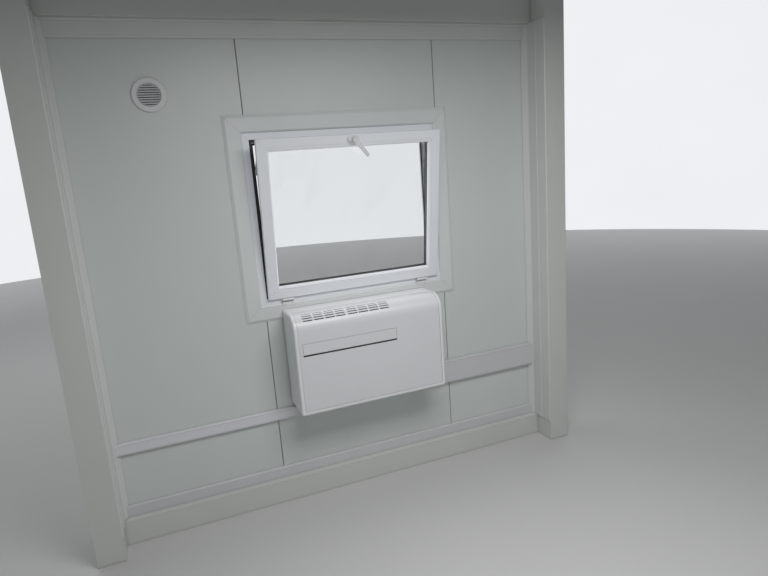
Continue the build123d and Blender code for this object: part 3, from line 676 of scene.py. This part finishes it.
# Window from outside: sealant round the frame, and caps over the drain slots
outside = {"bead": 0.0026, "lap": 0.011, "sillMetal": 0.014, "capWide": 0.034, "capTall": 0.010,
           "capDeep": 0.006, "capUp": 0.036, "capEdge": 0.0015}
frameLow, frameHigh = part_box("window_frame")
left, right = frameLow.x + outside["lap"], frameHigh.x - outside["lap"]
low, high = frameLow.z + outside["lap"], frameHigh.z - outside["lap"]
face = frameHigh.y
sillTop = low + outside["sillMetal"]
mesh = bmesh.new()
corners = [(left, face, sillTop), (left, face, high), (right, face, high), (right, face, sillTop)]
for start, end in ((0, 1), (3, 2), (1, 2), (0, 3)):
    addRound(mesh, corners[start], corners[end], outside["bead"], sides=10)
fit(mesh, "frame_sealant", "sealant", "seal", 60)
mesh = bmesh.new()
drainFoot = frameLow.z + outside["capUp"]
for share in (0.2, 0.5, 0.8):
    x = frameLow.x + (frameHigh.x - frameLow.x) * share
    addBox(mesh, (x - outside["capWide"] / 2, face, drainFoot),
           (x + outside["capWide"] / 2, face + outside["capDeep"], drainFoot + outside["capTall"]),
           outside["capEdge"])
fit(mesh, "drain_caps", "frame", "pvc_white")
print("sealant and drain caps made")

# Camera at the photograph's angle: its place, its right and up directions, and its focal length in pixels
photo = {"place": (-1.01893, -3.32832, 1.95244), "right": (0.92299986, -0.37795637, -0.07225127),
         "up": (0.14407225, 0.16532612, 0.97565899), "focal": 595.74, "wide": 768, "sensor": 36.0,
         "clip": (0.05, 200.0)}
camera = bpy.data.objects.new("photo_camera", bpy.data.cameras.new("photo_camera"))
bpy.context.scene.collection.objects.link(camera)
rightward, upward = Vector(photo["right"]), Vector(photo["up"])
turn = Matrix((rightward, upward, rightward.cross(upward))).transposed().to_4x4()
camera.matrix_world = Matrix.Translation(photo["place"]) @ turn
camera.data.sensor_fit = "HORIZONTAL"
camera.data.sensor_width = photo["sensor"]
camera.data.lens = photo["sensor"] * photo["focal"] / photo["wide"]
camera.data.clip_start, camera.data.clip_end = photo["clip"]
bpy.context.scene.camera = camera

# Studio: pale floor, a round backdrop, soft boxes and dim surroundings
studio = {"floor": 60.0, "backdropRadius": 12.0, "backdropHigh": 9.0,
          "surroundings": 0.10, "surroundingsTint": (0.97, 0.985, 1.0, 1.0)}
mesh = bmesh.new()
bmesh.ops.create_grid(mesh, x_segments=1, y_segments=1, size=studio["floor"] / 2)
makePiece(mesh, "studio_floor", "floor")
mesh = bmesh.new()
bmesh.ops.create_cone(mesh, cap_ends=False, segments=96, radius1=studio["backdropRadius"],
                      radius2=studio["backdropRadius"], depth=studio["backdropHigh"],
                      matrix=Matrix.Translation((0, 0, studio["backdropHigh"] / 2)))
bmesh.ops.reverse_faces(mesh, faces=mesh.faces)
makePiece(mesh, "studio_backdrop", "backdrop")

# The third one stands in for the daylight that comes through the glass
glassMiddle = sash["height"] / 2
softBoxes = [
    {"name": "overhead", "place": (0.2, -2.0, 2.76), "aim": (0.2, -2.0, 0.0), "size": (1.7, 1.1),
     "power": 49.5},
    {"name": "weather_side", "place": (-2.4, 4.2, 4.2), "aim": (0.0, 0.1, 1.2), "size": (3.0, 2.4),
     "power": 45},
    {"name": "window_daylight", "place": sashPlace @ Vector((0, 0.010, glassMiddle)),
     "aim": sashPlace @ Vector((0, -1.0, glassMiddle)), "size": (0.93, 0.74), "power": 2.0},
]
for box in softBoxes:
    lamp = bpy.data.lights.new(box["name"], "AREA")
    lamp.shape = "RECTANGLE"
    lamp.size, lamp.size_y = box["size"]
    lamp.energy = box["power"]
    lamp.color = (1.0, 1.0, 1.0)
    holder = bpy.data.objects.new(box["name"], lamp)
    holder.location = box["place"]
    aimed = Vector(box["aim"]) - Vector(box["place"])
    holder.rotation_euler = aimed.to_track_quat("-Z", "Y").to_euler()
    holder.visible_camera = False
    bpy.context.scene.collection.objects.link(holder)

world = bpy.data.worlds.new("studio_world")
world.use_nodes = True
bpy.context.scene.world = world
background = world.node_tree.nodes["Background"]
background.inputs["Color"].default_value = studio["surroundingsTint"]
background.inputs["Strength"].default_value = studio["surroundings"]
bpy.context.scene.view_settings.view_transform = "Standard"
print("studio set")
